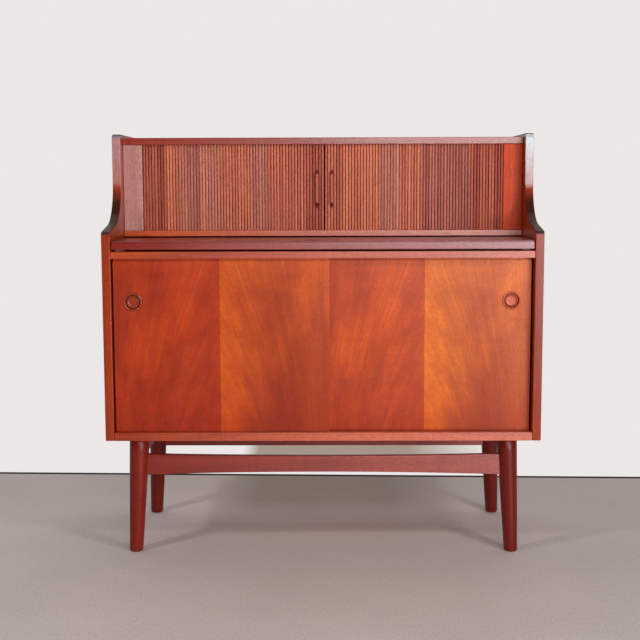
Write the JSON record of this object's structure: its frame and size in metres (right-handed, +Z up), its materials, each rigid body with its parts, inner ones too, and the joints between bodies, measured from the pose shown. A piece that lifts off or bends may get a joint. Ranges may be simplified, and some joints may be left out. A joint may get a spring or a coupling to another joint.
{
  "type": "secretary desk",
  "caption": "Low case with two sliding doors and a pull-out writing leaf, under a set-back hutch with tambour doors, on a frame with turned tapered legs.",
  "frame": {"origin": "centre of the footprint, on the floor under the four feet", "axes": "+X to the right along the width, +Y from the front to the back, +Z up"},
  "size_m": [1.1, 0.445, 1.072],
  "materials": {
    "side_teak": "clear lacquered teak veneer, satin sheen",
    "board_teak": "clear lacquered teak, satin sheen",
    "leaf_teak": "clear lacquered teak, darker, rounded front edge",
    "door_veneer": "book-matched teak veneer, satin lacquer",
    "tambour_slats": "teak slats, satin lacquer",
    "stile_teak": "clear lacquered teak, satin sheen",
    "turned_teak": "solid teak, carved or turned, satin lacquer",
    "leg_frame_teak": "solid teak, darker, satin lacquer",
    "inside_teak": "teak veneer inside the case, matt lacquer",
    "back_veneer": "thin veneered plywood, matt",
    "beech_inside": "pale veneered board, matt",
    "beech_blocks": "plain beech, waxed",
    "steel_fittings": "bright zinc-plated steel"
  },
  "bodies": {
    "case": {"bottom_panel": "board_teak", "centre_partition": "inside_teak", "front_left_leg": "leg_frame_teak", "front_rail": "leg_frame_teak", "front_right_leg": "leg_frame_teak", "hutch_back_panel": "back_veneer", "hutch_bottom_board": "board_teak", "hutch_top_board": "board_teak", "inner_back_panel": "back_veneer", "leaf_support_board": "board_teak", "left_end_stile": "stile_teak", "left_hutch_liner": "inside_teak", "left_leaf_catch": "beech_blocks", "left_leaf_runner": "beech_blocks", "left_pigeonhole_divider": "beech_inside", "left_shelf": "inside_teak", "left_shelf_pin_inner_front": "steel_fittings", "left_shelf_pin_inner_rear": "steel_fittings", "left_shelf_pin_outer_front": "steel_fittings", "left_shelf_pin_outer_rear": "steel_fittings", "left_side": "side_teak", "left_side_rail": "leg_frame_teak", "left_tambour_curtain": "tambour_slats", "leg_frame_screw_1": "steel_fittings", "leg_frame_screw_2": "steel_fittings", "leg_frame_screw_3": "steel_fittings", "leg_frame_screw_4": "steel_fittings", "lower_back_panel": "back_veneer", "pigeonhole_shelf": "beech_inside", "rear_left_leg": "leg_frame_teak", "rear_rail": "leg_frame_teak", "rear_right_leg": "leg_frame_teak", "right_end_stile": "stile_teak", "right_hutch_liner": "inside_teak", "right_leaf_catch": "beech_blocks", "right_leaf_runner": "beech_blocks", "right_pigeonhole_divider": "beech_inside", "right_shelf": "inside_teak", "right_shelf_pin_inner_front": "steel_fittings", "right_shelf_pin_inner_rear": "steel_fittings", "right_shelf_pin_outer_front": "steel_fittings", "right_shelf_pin_outer_rear": "steel_fittings", "right_side": "side_teak", "right_side_rail": "leg_frame_teak", "right_tambour_curtain": "tambour_slats"},
    "leaf": {"writing_leaf": "leaf_teak", "left_leaf_stop": "beech_blocks", "right_leaf_stop": "beech_blocks"},
    "left_sliding_door": {"left_door": "door_veneer", "left_door_pull": "turned_teak"},
    "right_sliding_door": {"right_door": "door_veneer", "right_door_pull": "turned_teak"},
    "left_tambour": {"left_tambour_lead_slat": "tambour_slats", "left_tambour_handle": "turned_teak"},
    "right_tambour": {"right_tambour_lead_slat": "tambour_slats", "right_tambour_handle": "turned_teak"}
  },
  "joints": [
    {"name": "leaf_slide", "type": "slide", "parent": "case", "child": "leaf", "axis": [0, -1, 0], "range_m": [0, 0.2]},
    {"name": "left_door_slide", "type": "slide", "parent": "case", "child": "left_sliding_door", "axis": [1, 0, 0], "range_m": [0, 0.505]},
    {"name": "right_door_slide", "type": "slide", "parent": "case", "child": "right_sliding_door", "axis": [1, 0, 0], "range_m": [-0.505, 0]},
    {"name": "left_tambour_slide", "type": "slide", "parent": "case", "child": "left_tambour", "axis": [-1, 0, 0], "range_m": [0, 0.44], "deforming": ["left_tambour_curtain"]},
    {"name": "right_tambour_slide", "type": "slide", "parent": "case", "child": "right_tambour", "axis": [1, 0, 0], "range_m": [0, 0.435], "deforming": ["right_tambour_curtain"]}
  ]
}
